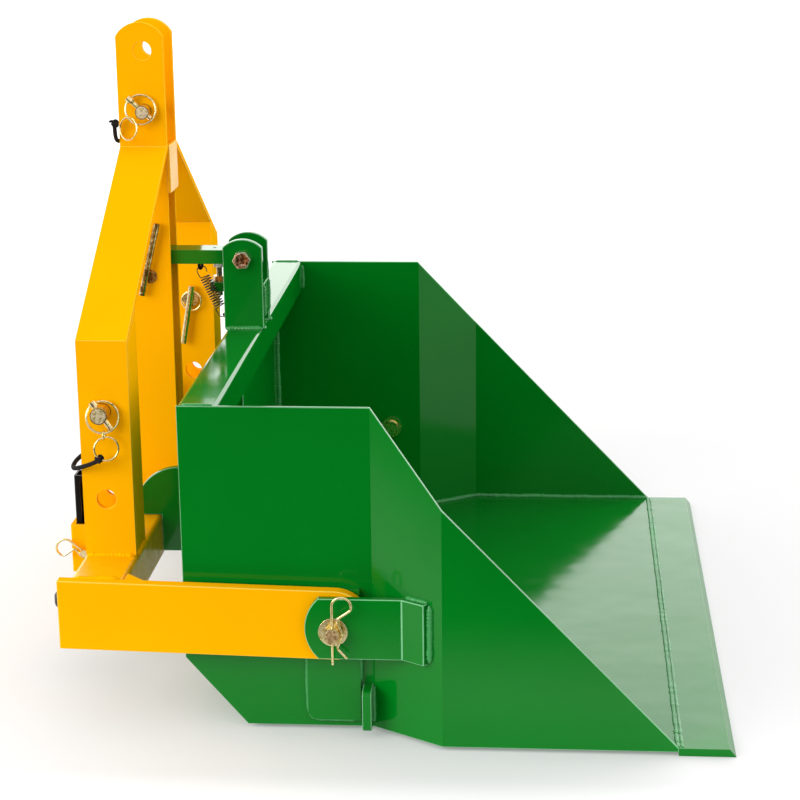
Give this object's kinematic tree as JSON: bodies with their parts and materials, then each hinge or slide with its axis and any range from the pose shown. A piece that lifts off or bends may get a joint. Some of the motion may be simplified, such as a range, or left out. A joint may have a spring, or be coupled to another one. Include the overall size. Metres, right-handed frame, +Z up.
{
  "type": "rear tipping bucket",
  "caption": "Tipping transport bucket for a tractor's rear three-point hitch: a folded green sheet-metal scoop in a yellow hitch frame with mast, sprung latch and parking stands.",
  "frame": {"origin": "middle plane of the bucket, on the floor sheet's underside, straight below the tipping axis", "axes": "+X towards the mouth, +Y to the right-hand side along the tipping axis, +Z up"},
  "size_m": [0.909, 1, 0.8589],
  "materials": {
    "green_paint": "gloss enamel",
    "yellow_paint": "gloss enamel",
    "black_paint": "satin black",
    "gold_zinc": "yellow zinc plating",
    "spring_steel": "bright wire",
    "white_plastic": "matt",
    "black_cord": "woven cord"
  },
  "bodies": {
    "frame": {"arm_left": "yellow_paint", "arm_right": "yellow_paint", "beam_gussets": "yellow_paint", "centre_post": "yellow_paint", "cross_beam": "yellow_paint", "lanyard_left": "black_cord", "lanyard_rings": "gold_zinc", "lanyard_top": "black_cord", "leg_angle_left": "yellow_paint", "leg_angle_right": "yellow_paint", "linchpin_left": "gold_zinc", "linchpin_right": "gold_zinc", "linchpin_top": "gold_zinc", "lower_pin_left": "gold_zinc", "lower_pin_right": "gold_zinc", "mast_bar_left": "yellow_paint", "mast_bar_right": "yellow_paint", "post_cover": "yellow_paint", "stand_clips": "gold_zinc", "stand_pin_left": "gold_zinc", "stand_pin_right": "gold_zinc", "stand_sleeve_left": "yellow_paint", "stand_sleeve_right": "yellow_paint", "top_link_pin": "gold_zinc"},
    "bucket": {"bucket_shell": "green_paint", "bucket_side_left": "green_paint", "bucket_side_right": "green_paint", "cutting_edge": "green_paint", "top_beam": "green_paint", "back_stiffener": "green_paint", "latch_ear_left": "green_paint", "latch_ear_right": "green_paint", "ear_brace": "green_paint", "strap_left": "green_paint", "strap_right": "green_paint", "pivot_plate_left": "green_paint", "pivot_plate_right": "green_paint", "tip_lug_left": "green_paint", "tip_lug_right": "green_paint", "stop_plate_left": "green_paint", "stop_plate_right": "green_paint", "stop_bracket": "green_paint", "stop_bolt": "gold_zinc", "stop_nut": "gold_zinc", "stop_cap": "white_plastic", "spring_eye": "black_paint", "pivot_pin_left": "gold_zinc", "pivot_pin_right": "gold_zinc", "pivot_washers": "gold_zinc", "pivot_clip_left": "gold_zinc", "pivot_clip_right": "gold_zinc", "latch_bolt": "gold_zinc", "latch_nut": "gold_zinc"},
    "latch": {"latch_bar": "green_paint", "latch_eye": "black_paint", "latch_spring": "spring_steel"},
    "lever": {"release_lever": "gold_zinc"},
    "stand_left": {"stand_left": "black_paint"},
    "stand_right": {"stand_right": "black_paint"}
  },
  "joints": [
    {"name": "bucket_tip", "type": "hinge", "parent": "frame", "child": "bucket", "pos_m": [0, 0, 0.1435], "axis": [0, 1, 0], "range_deg": [0, 82]},
    {"name": "latch_lift", "type": "hinge", "parent": "bucket", "child": "latch", "pos_m": [-0.169, 0, 0.523], "axis": [0, 1, 0], "range_deg": [0, 25], "stiffness_Nm_per_rad": 5, "springref_deg": -28.65, "deforming": ["latch_spring"]},
    {"name": "release_lever", "type": "hinge", "parent": "frame", "child": "lever", "pos_m": [-0.302, 0, 0.497], "axis": [0, 1, 0], "range_deg": [-60, 0]},
    {"name": "stand_left_slide", "type": "slide", "parent": "frame", "child": "stand_left", "axis": [0, 0, -1], "range_m": [0, 0.09]},
    {"name": "stand_right_slide", "type": "slide", "parent": "frame", "child": "stand_right", "axis": [0, 0, -1], "range_m": [0, 0.09]}
  ]
}
